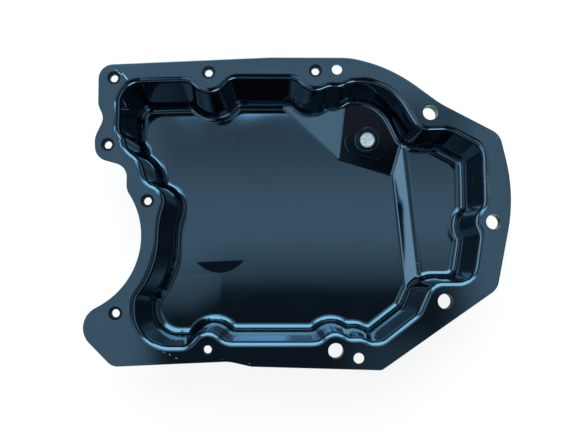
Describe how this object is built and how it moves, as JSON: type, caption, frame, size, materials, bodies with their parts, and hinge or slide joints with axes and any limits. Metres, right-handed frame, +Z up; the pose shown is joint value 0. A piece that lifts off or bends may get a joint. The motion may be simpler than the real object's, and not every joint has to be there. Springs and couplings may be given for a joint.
{
  "type": "engine oil pan",
  "caption": "Pressed-steel engine oil pan, open side up, with a bolt flange, a scalloped tub, a raised shelf and a sloped facet with a drain nut and plug.",
  "frame": {"origin": "under the middle of the flange's outline, at the level of the pan's bottom", "axes": "+X along the pan away from the notch, +Y across it towards the drain, +Z up through the open mouth"},
  "size_m": [0.3671, 0.2714, 0.067],
  "materials": {
    "pan_coat": "gloss",
    "sleeve_coat": "gloss",
    "plug_metal": "zinc-plated",
    "seal_metal": "satin"
  },
  "bodies": {
    "pan": {"pan_body": "pan_coat", "drain_weld_nut": "pan_coat", "bolt_sleeve_1": "sleeve_coat", "bolt_sleeve_2": "sleeve_coat", "bolt_sleeve_3": "sleeve_coat", "bolt_sleeve_4": "sleeve_coat", "bolt_sleeve_5": "sleeve_coat", "bolt_sleeve_6": "sleeve_coat", "bolt_sleeve_7": "sleeve_coat", "spacer_sleeve_1": "pan_coat", "spacer_sleeve_2": "pan_coat", "spacer_sleeve_3": "pan_coat", "spacer_sleeve_4": "pan_coat"},
    "seal": {"drain_plug_seal": "seal_metal"},
    "plug": {"drain_plug": "plug_metal"}
  },
  "joints": [
    {"name": "drain_plug_travel", "type": "slide", "parent": "pan", "child": "seal", "axis": [0.0869, 0.2879, -0.9537], "range_m": [0, 0.012]},
    {"name": "drain_plug_turn", "type": "hinge", "parent": "seal", "child": "plug", "pos_m": [0.06626, 0.07426, 0.01], "axis": [0.0869, 0.2879, -0.9537], "range_deg": [0, 2880]}
  ],
  "couplings": [
    {"joint": "drain_plug_travel", "follows": "drain_plug_turn", "m_per_rad": 0.00023873}
  ]
}
